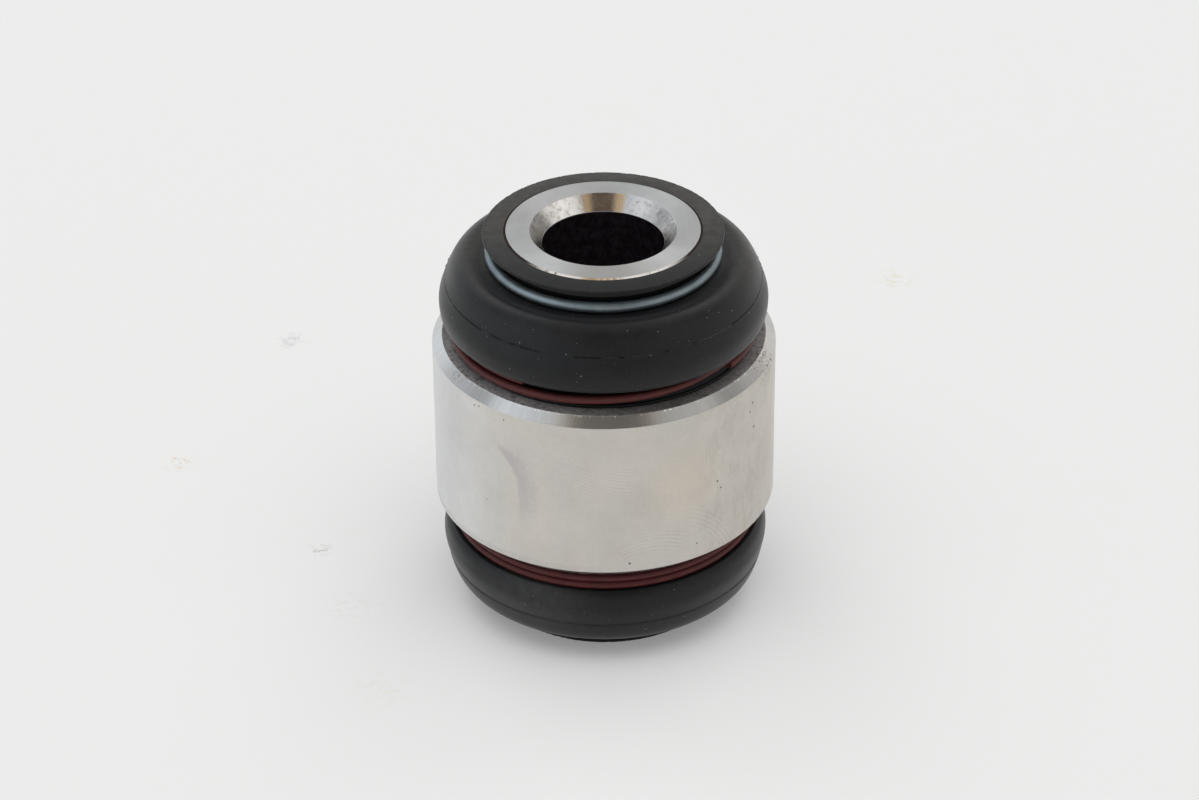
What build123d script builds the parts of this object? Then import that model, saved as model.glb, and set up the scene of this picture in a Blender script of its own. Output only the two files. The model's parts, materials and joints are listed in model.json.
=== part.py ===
from build123d import *
import math
import os

# Sleeve-type ball-joint bush. Millimetres, +Z up, origin at the centre of the ball.
# The bore axis is Z. Both ends are alike, apart from the housing's lower end, which is
# closed in over a ring, and the lower boot, which is a little fuller.

# ---- ball sleeve: the bored inner member that a bolt clamps end to end ----
bore_d = 14.1
sleeve_len = 48.5
sleeve_end_d = 23.2
rim_w = 0.45
rim_h = 0.3
countersink_w = 1.45
countersink_h = 1.7
ball_d = 26.8
waist_d = 20.4
flare_h = 1.3
bead_groove_depth = 0.7
bead_groove_h = 2.3
land_above_groove = 1.65
land_below_groove = 1.9

# ---- outer housing: the ground steel ring that is pressed into the carrier ----
housing_d = 40.0
land_len = 19.5
end_chamfer_w = 1.2
end_chamfer_h = 1.05
throat_d = 31.3
throat_h = 3.1
bead_d = 32.2
bead_h = 0.85
bead_chamfer = 0.25
throat_top_bore_d = 28.8
shoulder_z = 8.6
shoulder_bore_d = 25.8

# ---- plastic seat and closing ring inside the housing ----
seat_wall = 1.2
seat_wrap_z = 6.1
seat_mouth_d = 25.4
seat_slit_w = 1.2
closing_wall_h = 0.75
closing_extra_r = 0.3

# ---- rubber boots ----
collar_d = 27.8
collar_top_gap = 0.13
collar_edge_h = 0.45
collar_bevel = 0.22
neck_groove_d = 24.8
neck_groove_h = 1.7
neck_depth = 3.34
neck_floor_w = 1.7
crest_d = 31.8
crest_rise = 0.27
boot_max_d = 38.1
boot_max_share = 0.227
mould_line_d = 36.6
mould_line_share = 0.629
mould_ridge = 0.06
boot_wall = 1.35
boot_overhang = 0.18
lower_boot_bulge = 0.5
lip_d = 34.7
lip_h = 0.8
ring_seat_d = 34.0

# ---- spring-wire clamping rings ----
housing_wire_d = 1.0
housing_ring_turn_gap = 0.03
neck_wire_d = 1.24
butt_gap = 0.2
wire_end_azimuth = -38.0
jog_angle = 38.0
neck_butt_azimuth = -103.5

# ---- clearances ----
ball_run = 0.05
neck_run = 0.06
clip_fit = 0.02
neck_ring_fit = 0.05
seat_fit = 0.02
end_fit = 0.02

# ---- sizes worked out from the values above ----
half_len = sleeve_len / 2
bore_r = bore_d / 2
sleeve_end_r = sleeve_end_d / 2
ball_r = ball_d / 2
waist_r = waist_d / 2
ball_edge_z = math.sqrt(ball_r**2 - waist_r**2)
groove_r = sleeve_end_r - bead_groove_depth
groove_top = half_len - land_above_groove
groove_bottom = groove_top - bead_groove_h
flare_top_z = groove_bottom - land_below_groove
waist_end_z = flare_top_z - flare_h

housing_r = housing_d / 2
half_land = land_len / 2
end_face_z = half_land + end_chamfer_h
end_face_r = housing_r - end_chamfer_w
throat_r = throat_d / 2
throat_end_z = end_face_z + throat_h
bead_r = bead_d / 2
mouth_z = throat_end_z + bead_h
mouth_r = throat_top_bore_d / 2
shoulder_r = shoulder_bore_d / 2

seat_in_r = ball_r + ball_run
seat_out_r = seat_in_r + seat_wall
seat_bore_r = seat_out_r + seat_fit
seat_end_z = shoulder_z - end_fit
seat_wrap_r = math.sqrt(seat_in_r**2 - seat_wrap_z**2)
seat_mouth_r = seat_mouth_d / 2
closing_bore_r = seat_bore_r + closing_extra_r
closing_out_r = closing_bore_r - seat_fit
closing_end_z = mouth_z - closing_wall_h

collar_r = collar_d / 2
collar_top = half_len - collar_top_gap
collar_in_r = sleeve_end_r + neck_run
bead_in_r = groove_r + neck_run
shoulder_top_z = collar_top - neck_depth
neck_groove_r = neck_groove_d / 2
crest_r = crest_d / 2
neck_ring_r = neck_groove_r + neck_wire_d / 2 + neck_ring_fit
neck_ring_z = shoulder_top_z + neck_groove_h / 2 - 0.1
boot_max_r = boot_max_d / 2
mould_line_r = mould_line_d / 2
ring_seat_r = ring_seat_d / 2
lip_r = lip_d / 2
lip_in_r = throat_r + clip_fit
lip_over_bead_r = bead_r + clip_fit
lip_bottom = end_face_z + end_fit
ring_seat_bottom = lip_bottom + lip_h
housing_wire_r = housing_wire_d / 2
turn_pitch = housing_wire_d + housing_ring_turn_gap
housing_ring_r = ring_seat_r + housing_wire_r + clip_fit
first_turn_z = ring_seat_bottom + clip_fit + housing_wire_r
second_turn_z = first_turn_z + turn_pitch
boot_under_z = second_turn_z + housing_wire_r + clip_fit
wall_h = shoulder_top_z - boot_under_z
boot_max_z = boot_under_z + boot_max_share * wall_h
mould_line_z = boot_under_z + mould_line_share * wall_h

os.makedirs("parts", exist_ok=True)


# ---- ball sleeve ----
with BuildPart() as ball_sleeve:
    with BuildSketch(Plane.XZ) as sleeve_profile:
        with BuildLine():
            Line((bore_r, 0), (bore_r, half_len - countersink_h))
            Line((bore_r, half_len - countersink_h), (bore_r + countersink_w, half_len))
            Line((bore_r + countersink_w, half_len), (sleeve_end_r - rim_w, half_len))
            Line((sleeve_end_r - rim_w, half_len), (sleeve_end_r, half_len - rim_h))
            Line((sleeve_end_r, half_len - rim_h), (sleeve_end_r, groove_top))
            Line((sleeve_end_r, groove_top), (groove_r, groove_top))
            Line((groove_r, groove_top), (groove_r, groove_bottom))
            Line((groove_r, groove_bottom), (sleeve_end_r, groove_bottom))
            Line((sleeve_end_r, groove_bottom), (sleeve_end_r, flare_top_z))
            Line((sleeve_end_r, flare_top_z), (waist_r, waist_end_z))
            Line((waist_r, waist_end_z), (waist_r, ball_edge_z))
            ThreePointArc(
                (waist_r, ball_edge_z),
                (ball_r * math.cos(math.radians(20)), ball_r * math.sin(math.radians(20))),
                (ball_r, 0),
            )
            Line((ball_r, 0), (bore_r, 0))
        make_face()
        mirror(about=Plane.XZ)
    revolve(axis=Axis.Z)
ball_sleeve.part.label = "ball_sleeve"
export_step(ball_sleeve.part, "parts/ball_sleeve.step")


# ---- outer housing: shoulder at the top, closed in over the closing ring below ----
with BuildPart() as outer_housing:
    with BuildSketch(Plane.XZ) as housing_profile:
        with BuildLine():
            Polyline(
                (shoulder_r, shoulder_z),
                (mouth_r, mouth_z),
                (bead_r - bead_chamfer, mouth_z),
                (bead_r, mouth_z - bead_chamfer),
                (bead_r, throat_end_z),
                (throat_r, throat_end_z),
                (throat_r, end_face_z),
                (end_face_r, end_face_z),
                (housing_r, half_land),
                (housing_r, -half_land),
                (end_face_r, -end_face_z),
                (throat_r, -end_face_z),
                (throat_r, -throat_end_z),
                (bead_r, -throat_end_z),
                (bead_r, bead_chamfer - mouth_z),
                (bead_r - bead_chamfer, -mouth_z),
                (mouth_r, -mouth_z),
                (mouth_r, -closing_end_z),
                (closing_bore_r, -closing_end_z),
                (closing_bore_r, -shoulder_z),
                (seat_bore_r, -shoulder_z),
                (seat_bore_r, shoulder_z),
                close=True,
            )
        make_face()
    revolve(axis=Axis.Z)
outer_housing.part.label = "outer_housing"
export_step(outer_housing.part, "parts/outer_housing.step")


# ---- split plastic seat round the ball ----
with BuildPart() as ball_seat:
    with BuildSketch(Plane.XZ):
        with BuildLine():
            ThreePointArc(
                (seat_wrap_r, -seat_wrap_z), (seat_in_r, 0), (seat_wrap_r, seat_wrap_z)
            )
            Polyline(
                (seat_wrap_r, seat_wrap_z),
                (seat_mouth_r, seat_end_z),
                (seat_out_r, seat_end_z),
                (seat_out_r, -seat_end_z),
                (seat_mouth_r, -seat_end_z),
                (seat_wrap_r, -seat_wrap_z),
            )
        make_face()
    revolve(axis=Axis.Z)
    with BuildSketch(Plane.XY.offset(-seat_end_z)):
        with Locations((0, (seat_in_r + seat_out_r) / 2)):
            Rectangle(seat_slit_w, 4 * seat_wall + 4)
    extrude(amount=2 * seat_end_z, mode=Mode.SUBTRACT)
ball_seat.part.label = "ball_seat"
export_step(ball_seat.part, "parts/ball_seat.step")


# ---- closing ring that the housing's lower rim is rolled over ----
with BuildPart() as closing_ring:
    with BuildSketch(Plane.XZ):
        with BuildLine():
            Polyline(
                (shoulder_r, -shoulder_z),
                (closing_out_r, -shoulder_z),
                (closing_out_r, end_fit - closing_end_z),
                (mouth_r, end_fit - closing_end_z),
                close=True,
            )
        make_face()
    revolve(axis=Axis.Z)
closing_ring.part.label = "closing_ring"
export_step(closing_ring.part, "parts/closing_ring.step")


# ---- rubber boots: beaded neck with a collar, full doughnut wall, lip on the housing ----
def boot_profile(bulge):
    """Half section of a boot for the upper end; bulge is how far its shoulder swells out."""
    crest = (crest_r + 0.9 * bulge, shoulder_top_z + crest_rise + bulge)
    line_slope = 0.47 - 0.4 * bulge
    line_r = mould_line_r + 0.88 * bulge
    wide_r = boot_max_r + 0.25 * bulge
    upper_wall_h = shoulder_top_z - mould_line_z
    inner_top = shoulder_top_z + 0.6 * bulge - boot_wall
    inner_h = inner_top - mouth_z
    with BuildSketch(Plane.XZ) as profile:
        with BuildLine():
            # collar and the two grooves at the neck, from the inside over the top
            Polyline(
                (bead_in_r, groove_bottom + end_fit),
                (bead_in_r, groove_top - end_fit),
                (collar_in_r, groove_top - end_fit),
                (collar_in_r, collar_top - collar_bevel),
                (collar_in_r + collar_bevel, collar_top),
                (collar_r - 0.1, collar_top),
                (collar_r, collar_top - 0.1),
                (collar_r, collar_top - collar_edge_h),
                (neck_groove_r + 0.1, shoulder_top_z + neck_groove_h),
                (neck_groove_r, shoulder_top_z + neck_groove_h - 0.1),
                (neck_groove_r, shoulder_top_z),
                (neck_groove_r + neck_floor_w, shoulder_top_z),
            )
            # over the crest of the shoulder and down to the parting line
            Spline(
                (neck_groove_r + neck_floor_w, shoulder_top_z),
                crest,
                (crest_r + 1.0 + 1.4 * bulge, mould_line_z + (0.91 + 0.2 * bulge) * upper_wall_h),
                (line_r, mould_line_z),
                tangents=[(1, 0.1 + 0.4 * bulge), (line_slope, -1)],
            )
            Polyline(
                (line_r, mould_line_z),
                (line_r + mould_ridge, mould_line_z - 0.08),
                (line_r + mould_ridge, mould_line_z - 0.2),
            )
            # from the parting line round the widest place and in over the ring
            Spline(
                (line_r + mould_ridge, mould_line_z - 0.2),
                (wide_r, boot_max_z),
                (boot_max_r - 0.45, boot_under_z),
                (boot_max_r - 0.72, boot_under_z - boot_overhang),
                (housing_ring_r + housing_wire_r + 0.1, boot_under_z),
                tangents=[(line_slope, -1), (-1, 1)],
            )
            Polyline(
                (housing_ring_r + housing_wire_r + 0.1, boot_under_z),
                (ring_seat_r, boot_under_z),
                (ring_seat_r, ring_seat_bottom),
                (lip_r, ring_seat_bottom),
                (lip_r, lip_bottom),
                (lip_in_r, lip_bottom),
                (lip_in_r, throat_end_z - end_fit),
                (lip_over_bead_r, throat_end_z - end_fit),
                (lip_over_bead_r, mouth_z),
            )
            # inside of the wall back up to the neck bead
            FilletPolyline(
                (lip_over_bead_r, mouth_z),
                (wide_r - boot_wall, mouth_z + 0.06 * inner_h),
                (wide_r - boot_wall, mouth_z + 0.32 * inner_h),
                (line_r - 1.3 * boot_wall, inner_top),
                (neck_groove_r + neck_floor_w, shoulder_top_z - boot_wall),
                radius=0.15 * inner_h,
            )
            Polyline(
                (neck_groove_r + neck_floor_w, shoulder_top_z - boot_wall),
                (collar_in_r + 0.45, shoulder_top_z - boot_wall),
                (collar_in_r, shoulder_top_z - boot_wall + 0.45),
                (collar_in_r, groove_bottom + end_fit),
                (bead_in_r, groove_bottom + end_fit),
            )
        make_face()
    return profile.sketch


with BuildPart() as upper_boot:
    add(boot_profile(0))
    revolve(axis=Axis.Z)
upper_boot.part.label = "upper_boot"
export_step(upper_boot.part, "parts/upper_boot.step")

# the lower boot is the same moulding, swollen a little by the grease that sinks into it
with BuildPart() as lower_boot:
    add(mirror(boot_profile(lower_boot_bulge), about=Plane.XY, mode=Mode.PRIVATE))
    revolve(axis=Axis.Z)
lower_boot.part.label = "lower_boot"
export_step(lower_boot.part, "parts/lower_boot.step")


# ---- two-turn spring rings that clamp the boot lips on the housing ----
# Each turn lies flat in its seat. The first turn starts at a cut end, and before it is
# back there the wire climbs in a short jog, passes above that end and lies on the first
# turn as the second, which stops short of the jog.
def jog_point(share):
    """A point of the jog: 0 where the first turn ends and 1 where the second starts."""
    angle = math.radians(wire_end_azimuth - jog_angle * (1 - share))
    rise = (1 - math.cos(math.pi * share)) / 2
    return (
        housing_ring_r * math.cos(angle),
        housing_ring_r * math.sin(angle),
        first_turn_z + rise * turn_pitch,
    )


turn_angle = 360 - jog_angle
end_relief = math.degrees(1.3 * housing_wire_d / housing_ring_r)
jog_in = math.radians(wire_end_azimuth - jog_angle)
jog_out = math.radians(wire_end_azimuth)

with BuildPart() as upper_housing_ring:
    with BuildLine() as wire_path:
        CenterArc(
            (0, 0, first_turn_z),
            housing_ring_r,
            wire_end_azimuth + end_relief,
            turn_angle - end_relief,
        )
        Spline(
            *[jog_point(share) for share in (0, 0.25, 0.5, 0.75, 1)],
            tangents=[
                (-math.sin(jog_in), math.cos(jog_in), 0),
                (-math.sin(jog_out), math.cos(jog_out), 0),
            ],
        )
        CenterArc(
            (0, 0, second_turn_z),
            housing_ring_r,
            wire_end_azimuth,
            turn_angle - end_relief,
        )
    with BuildSketch(Plane(origin=wire_path.line @ 0, z_dir=wire_path.line % 0)):
        Circle(housing_wire_r)
    sweep()
upper_housing_ring.part.label = "upper_housing_ring"
export_step(upper_housing_ring.part, "parts/upper_housing_ring.step")

with BuildPart() as lower_housing_ring:
    add(upper_housing_ring.part.rotate(Axis.X, 180))
lower_housing_ring.part.label = "lower_housing_ring"
export_step(lower_housing_ring.part, "parts/lower_housing_ring.step")


# ---- butt-ended wire rings that hold the boot necks on the sleeve ----
butt_angle = math.degrees(butt_gap / neck_ring_r)

with BuildPart() as upper_neck_ring:
    with BuildSketch(Plane.XZ.rotated((0, 0, neck_butt_azimuth + butt_angle / 2))):
        with Locations((neck_ring_r, neck_ring_z)):
            Circle(neck_wire_d / 2)
    revolve(axis=Axis.Z, revolution_arc=360 - butt_angle)
upper_neck_ring.part.label = "upper_neck_ring"
export_step(upper_neck_ring.part, "parts/upper_neck_ring.step")

with BuildPart() as lower_neck_ring:
    add(upper_neck_ring.part.rotate(Axis.X, 180))
lower_neck_ring.part.label = "lower_neck_ring"
export_step(lower_neck_ring.part, "parts/lower_neck_ring.step")
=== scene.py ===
import functools
import json
import math

import bpy
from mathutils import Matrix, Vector
from mathutils.geometry import interpolate_bezier


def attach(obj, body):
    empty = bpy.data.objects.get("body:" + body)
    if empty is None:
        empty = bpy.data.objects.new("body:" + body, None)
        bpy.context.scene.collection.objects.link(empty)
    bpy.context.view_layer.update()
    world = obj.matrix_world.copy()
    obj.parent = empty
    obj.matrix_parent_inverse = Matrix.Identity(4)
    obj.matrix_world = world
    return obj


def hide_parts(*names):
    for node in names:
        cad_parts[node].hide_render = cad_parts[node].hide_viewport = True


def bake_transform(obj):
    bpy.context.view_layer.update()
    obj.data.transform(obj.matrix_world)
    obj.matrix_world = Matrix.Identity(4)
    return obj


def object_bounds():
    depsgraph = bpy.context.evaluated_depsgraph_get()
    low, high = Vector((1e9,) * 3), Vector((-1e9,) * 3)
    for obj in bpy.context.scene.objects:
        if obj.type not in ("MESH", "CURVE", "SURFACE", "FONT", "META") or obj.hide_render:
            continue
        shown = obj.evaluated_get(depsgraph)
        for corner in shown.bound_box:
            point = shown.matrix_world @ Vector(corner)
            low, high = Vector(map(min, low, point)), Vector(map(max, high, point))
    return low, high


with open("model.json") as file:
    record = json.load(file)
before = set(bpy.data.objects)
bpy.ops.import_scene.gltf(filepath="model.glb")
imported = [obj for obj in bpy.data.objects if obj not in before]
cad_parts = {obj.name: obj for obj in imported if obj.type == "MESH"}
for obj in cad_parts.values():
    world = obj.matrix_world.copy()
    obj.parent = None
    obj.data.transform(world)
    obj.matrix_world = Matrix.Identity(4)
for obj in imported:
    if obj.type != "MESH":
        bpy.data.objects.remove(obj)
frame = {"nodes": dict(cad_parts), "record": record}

bl_info = {
    "name": "Ball-joint bush",
    "version": (1, 0, 0),
    "blender": (4, 5, 0),
    "location": "View3D > Sidebar > Bush",
    "description": "Dresses a ball-joint bush: ground steel housing, bored sleeve, rubber boots and wire rings",
    "category": "Object",
}

MM = 0.001
NODES = frame["nodes"]
RECORD_COLOURS = {m["slot"]: m["base_color"] for m in frame["record"]["materials"]}
CAD_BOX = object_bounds()

# Radii and heights at the upper end of the steel pieces, in millimetres.
BORE_R, BORE_TOP = 7.05, 22.55
FUNNEL_R, FACE_R = 8.5, 11.15
GROUND_R, GROUND_TOP = 20, 9.75
END_R, END_Z = 18.8, 10.8
FRONT, BACK = (0, -1, 0), (0, 1, 0)


# ---- node trees
class Tree:
    """Short calls for building a node tree."""

    def __init__(self, tree):
        self.tree = tree

    def node(self, kind, values=(), **words):
        """A new node. values fill its sockets, in order or by number; a capitalised word is a socket too."""
        made = self.tree.nodes.new(kind)
        sockets = dict(values) if isinstance(values, dict) else dict(enumerate(values))
        for word, value in words.items():
            if word[0].isupper():
                sockets[word.replace("_", " ")] = value
            else:
                setattr(made, word, value)
        for key, value in sockets.items():
            self.plug(made.inputs[key], value)
        return made

    def geometry(self, kind, values=(), **words):
        """The first output of a new geometry node."""
        return self.node("GeometryNode" + kind, values, **words).outputs[0]

    def plug(self, socket, value):
        if isinstance(value, bpy.types.NodeSocket):
            self.tree.links.new(value, socket)
        else:
            socket.default_value = value

    def math(self, operation, *values):
        return self.node("ShaderNodeMath", values, operation=operation).outputs[0]

    def chain(self, operation, values):
        return functools.reduce(lambda first, second: self.math(operation, first, second), values)

    def times(self, *values):
        return self.chain("MULTIPLY", values)

    def plus(self, *values):
        return self.chain("ADD", values)

    def minus(self, first, second):
        return self.math("SUBTRACT", first, second)

    def graded(self, value, factor, offset):
        """value times factor, plus offset."""
        return self.math("MULTIPLY_ADD", value, factor, offset)

    def any_of(self, *masks):
        """The strongest of the masks."""
        return self.chain("MAXIMUM", masks)

    def vector(self, operation, *values, out=0):
        return self.node("ShaderNodeVectorMath", values, operation=operation).outputs[out]

    def gap(self, place, centre):
        """How far place is from centre."""
        return self.vector("DISTANCE", place, centre, out=1)

    def along(self, place, direction):
        return self.vector("DOT_PRODUCT", place, direction, out=1)

    def scaled(self, vector, factor):
        return self.node("ShaderNodeVectorMath", (vector,), Scale=factor, operation="SCALE").outputs[0]

    def xyz(self, x, y, z):
        return self.node("ShaderNodeCombineXYZ", (x, y, z)).outputs[0]

    def step(self, value, low, high, to_low=0, to_high=1):
        """to_low below low, to_high above high, and a smooth step between them."""
        values = (value, low, high, to_low, to_high)
        return self.node("ShaderNodeMapRange", values, interpolation_type="SMOOTHSTEP").outputs[0]

    def fall(self, value, low, high):
        """1 below low, 0 above high, and a smooth step between them."""
        return self.step(value, low, high, 1, 0)

    def between(self, value, low, high, soft):
        """1 where value lies between low and high, with edges of width soft."""
        half = soft / 2
        return self.times(self.step(value, low - half, low + half), self.fall(value, high - half, high + half))

    def noise(self, vector, scale, detail=2, roughness=0.5, distortion=0):
        shape = {"Scale": scale, "Detail": detail, "Roughness": roughness, "Distortion": distortion}
        return self.node("ShaderNodeTexNoise", Vector=vector, **shape).outputs[0]

    def paint(self, colour):
        """A socket as it is, or a colour with its alpha."""
        return colour if isinstance(colour, bpy.types.NodeSocket) else (*colour, 1)

    def mix(self, share, first, second):
        values = {0: share, 6: self.paint(first), 7: self.paint(second)}
        return self.node("ShaderNodeMix", values, data_type="RGBA").outputs[2]

    def tone(self, colour, factor):
        """colour made lighter or darker by factor."""
        values = {0: 1, 6: self.paint(colour), 7: self.xyz(factor, factor, factor)}
        return self.node("ShaderNodeMix", values, data_type="RGBA", blend_type="MULTIPLY").outputs[2]

    def bump(self, height, depth_mm):
        return self.node("ShaderNodeBump", Height=height, Distance=depth_mm * MM, Strength=1).outputs[0]


class Finish(Tree):
    """A surface finish: one Principled shader and places on the part in millimetres."""

    def __init__(self, name, **sockets):
        self.material = bpy.data.materials.new(name)
        self.material.use_nodes = True
        super().__init__(self.material.node_tree)
        self.tree.nodes.clear()
        self.output = self.node("ShaderNodeOutputMaterial")
        self.shader = self.node("ShaderNodeBsdfPrincipled", **sockets)
        self.tree.links.new(self.shader.outputs[0], self.output.inputs[0])
        coordinates = self.node("ShaderNodeTexCoord").outputs["Object"]
        self.place = self.node("ShaderNodeMapping", Vector=coordinates, Scale=(1000, 1000, 1000)).outputs[0]
        self.x, self.y, self.z = self.node("ShaderNodeSeparateXYZ", (self.place,)).outputs
        flat = self.xyz(self.x, self.y, 0)
        self.radius = self.vector("LENGTH", flat, out=1)
        self.round = self.vector("NORMALIZE", flat)
        self.height = self.math("ABSOLUTE", self.z)

    def cloudy(self, scale, *shape):
        """Noise that fills the part; scale is in lumps for each millimetre."""
        return self.noise(self.place, scale, *shape)

    def specks(self, scale, small, large):
        """1 in small specks at scattered points, 0 between them; their sizes are shares of their spacing."""
        gap = self.node("ShaderNodeTexVoronoi", Vector=self.place, Scale=scale).outputs["Distance"]
        return self.fall(gap, small, large)

    def spot(self, centre, size, soft=0.5):
        """1 inside a spot round centre (mm), 0 outside it."""
        return self.fall(self.gap(self.place, centre), size * (1 - soft), size * (1 + soft))

    def round_noise(self, scale, *shape):
        """Noise that runs round the part and is level along it."""
        return self.noise(self.scaled(self.round, scale), 1, *shape)

    def finish(self, colour, roughness, normal, metallic=None):
        for socket, value in {
            "Base Color": colour, "Roughness": roughness, "Normal": normal, "Metallic": metallic
        }.items():
            if value is not None:
                self.plug(self.shader.inputs[socket], value)
        return self.material


def on_skin(azimuth, radius, z):
    """A place in millimetres: azimuth in degrees from the front, positive to the right."""
    a = math.radians(azimuth)
    return (radius * math.sin(a), -radius * math.cos(a), z)


def tinted(colour, *shares):
    """colour with its red, green and blue scaled by shares."""
    return tuple(c * k for c, k in zip(colour, shares))


def stand(name, data):
    """Puts a new object with this data into the scene."""
    made = bpy.data.objects.new(name, data)
    bpy.context.scene.collection.objects.link(made)
    return made


def wear(node_name, material):
    """Gives a CAD node its finish."""
    node = NODES.get(node_name)
    if node is None:
        raise RuntimeError(f"the frame has no node named {node_name}")
    node.data.materials.clear()
    node.data.materials.append(material)


# ---- settings
def colour_setting(name, description, default):
    return bpy.props.FloatVectorProperty(
        name=name, description=description, subtype="COLOR", size=3, min=0, max=1, default=default
    )


def length_setting(name, description, default):
    return bpy.props.FloatProperty(
        name=name, description=description, default=default, min=0, max=MM,
        subtype="DISTANCE", unit="LENGTH", precision=6,
    )


def number_setting(name, description, default, most, **kind):
    return bpy.props.FloatProperty(name=name, description=description, default=default, min=0, max=most, **kind)


class BushSteelSettings(bpy.types.PropertyGroup):
    sleeve: colour_setting("Sleeve", "Bare faced steel of the bored sleeve", (0.62, 0.62, 0.62))
    bore: colour_setting("Bore", "Dark, oiled wall of the bore", (0.013, 0.010, 0.0125))
    ground: colour_setting("Ground diameter", "Ground steel of the press-fit diameter", (0.622, 0.589, 0.55))
    chamfer: colour_setting("Chamfer", "Bright turned chamfers of the housing", (0.62, 0.615, 0.61))
    end_face: colour_setting("End face", "Dark annular end faces of the housing", (0.34, 0.325, 0.325))
    rust: colour_setting("Rust", "Specks of rust at the edge of the housing", (0.20, 0.11, 0.07))
    grinding: number_setting("Grinding marks", "How strongly the grinding marks show", 1, 3, subtype="FACTOR")


class BushRubberSettings(bpy.types.PropertyGroup):
    rubber: colour_setting("Rubber", "Moulded boot rubber", (0.0058, 0.006, 0.0070))
    dust: colour_setting("Dust", "Grains and lint that cling to the rubber", (0.36, 0.36, 0.35))
    steps_round: bpy.props.IntProperty(
        name="Steps round", description="Facets of a boot round its axis", default=420, min=48, max=720
    )
    flash_height: length_setting("Flash height", "Height of the ragged flash along the parting line", 0.14 * MM)
    edge_nicks: length_setting("Edge nicks", "Depth of the small nicks in the rim of the collar", 0.13 * MM)
    ripple: length_setting("Ripple", "Slow unevenness of the moulded wall", 0.05 * MM)
    lower_bulge: length_setting("Lower boot bulge", "How much fuller the lower boot's shoulder is", 0.5 * MM)
    grain_size: length_setting("Dust grain", "Radius of the larger dust grains", 0.065 * MM)
    grain_density: number_setting("Dust density", "Loose grains for each square metre of rubber", 160000, 1e7)


class BushWireSettings(bpy.types.PropertyGroup):
    housing_wire: colour_setting("Housing rings", "Red-brown coating of the two-turn rings", (0.105, 0.026, 0.025))
    neck_wire: colour_setting("Neck rings", "Blue-grey coating of the neck rings", (0.24, 0.29, 0.315))


class BushInsideSettings(bpy.types.PropertyGroup):
    seat: colour_setting("Seat", "Off-white bearing plastic of the ball seat", RECORD_COLOURS["seat_plastic"])
    closing_ring: colour_setting("Closing ring", "Turned steel of the closing ring", RECORD_COLOURS["closing_steel"])


class BushStageSettings(bpy.types.PropertyGroup):
    floor: colour_setting("Floor", "Pale table top", (0.777, 0.785, 0.775))
    horizon: number_setting("Tent light", "Brightness of the tent behind and overhead", 0.60, 4)
    left: number_setting("Left wall", "Brightness of the tent's left wall", 1.08, 4)
    right: number_setting("Right wall", "Brightness of the tent's right wall", 0.90, 4)
    ceiling: number_setting("Ceiling", "Light that the tent's ceiling throws on the table", 2.2, 6)
    opening: colour_setting("Opening", "Brown room seen through the tent's opening in front", (0.085, 0.068, 0.045))
    softbox: number_setting("Softboxes", "Power of the two softboxes together, in watts", 2, 100)
    floor_lift: number_setting("Floor lift", "How much the table's shadow is lightened", 0.30, 1, subtype="FACTOR")


# ---- metal finishes
# Directions of the two ochre bands at the back of the countersink, painted reflections of the brown room.
OCHRE_BANDS = ((-0.235, 0.972, 0), (0.24, 0.971, 0))


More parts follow.
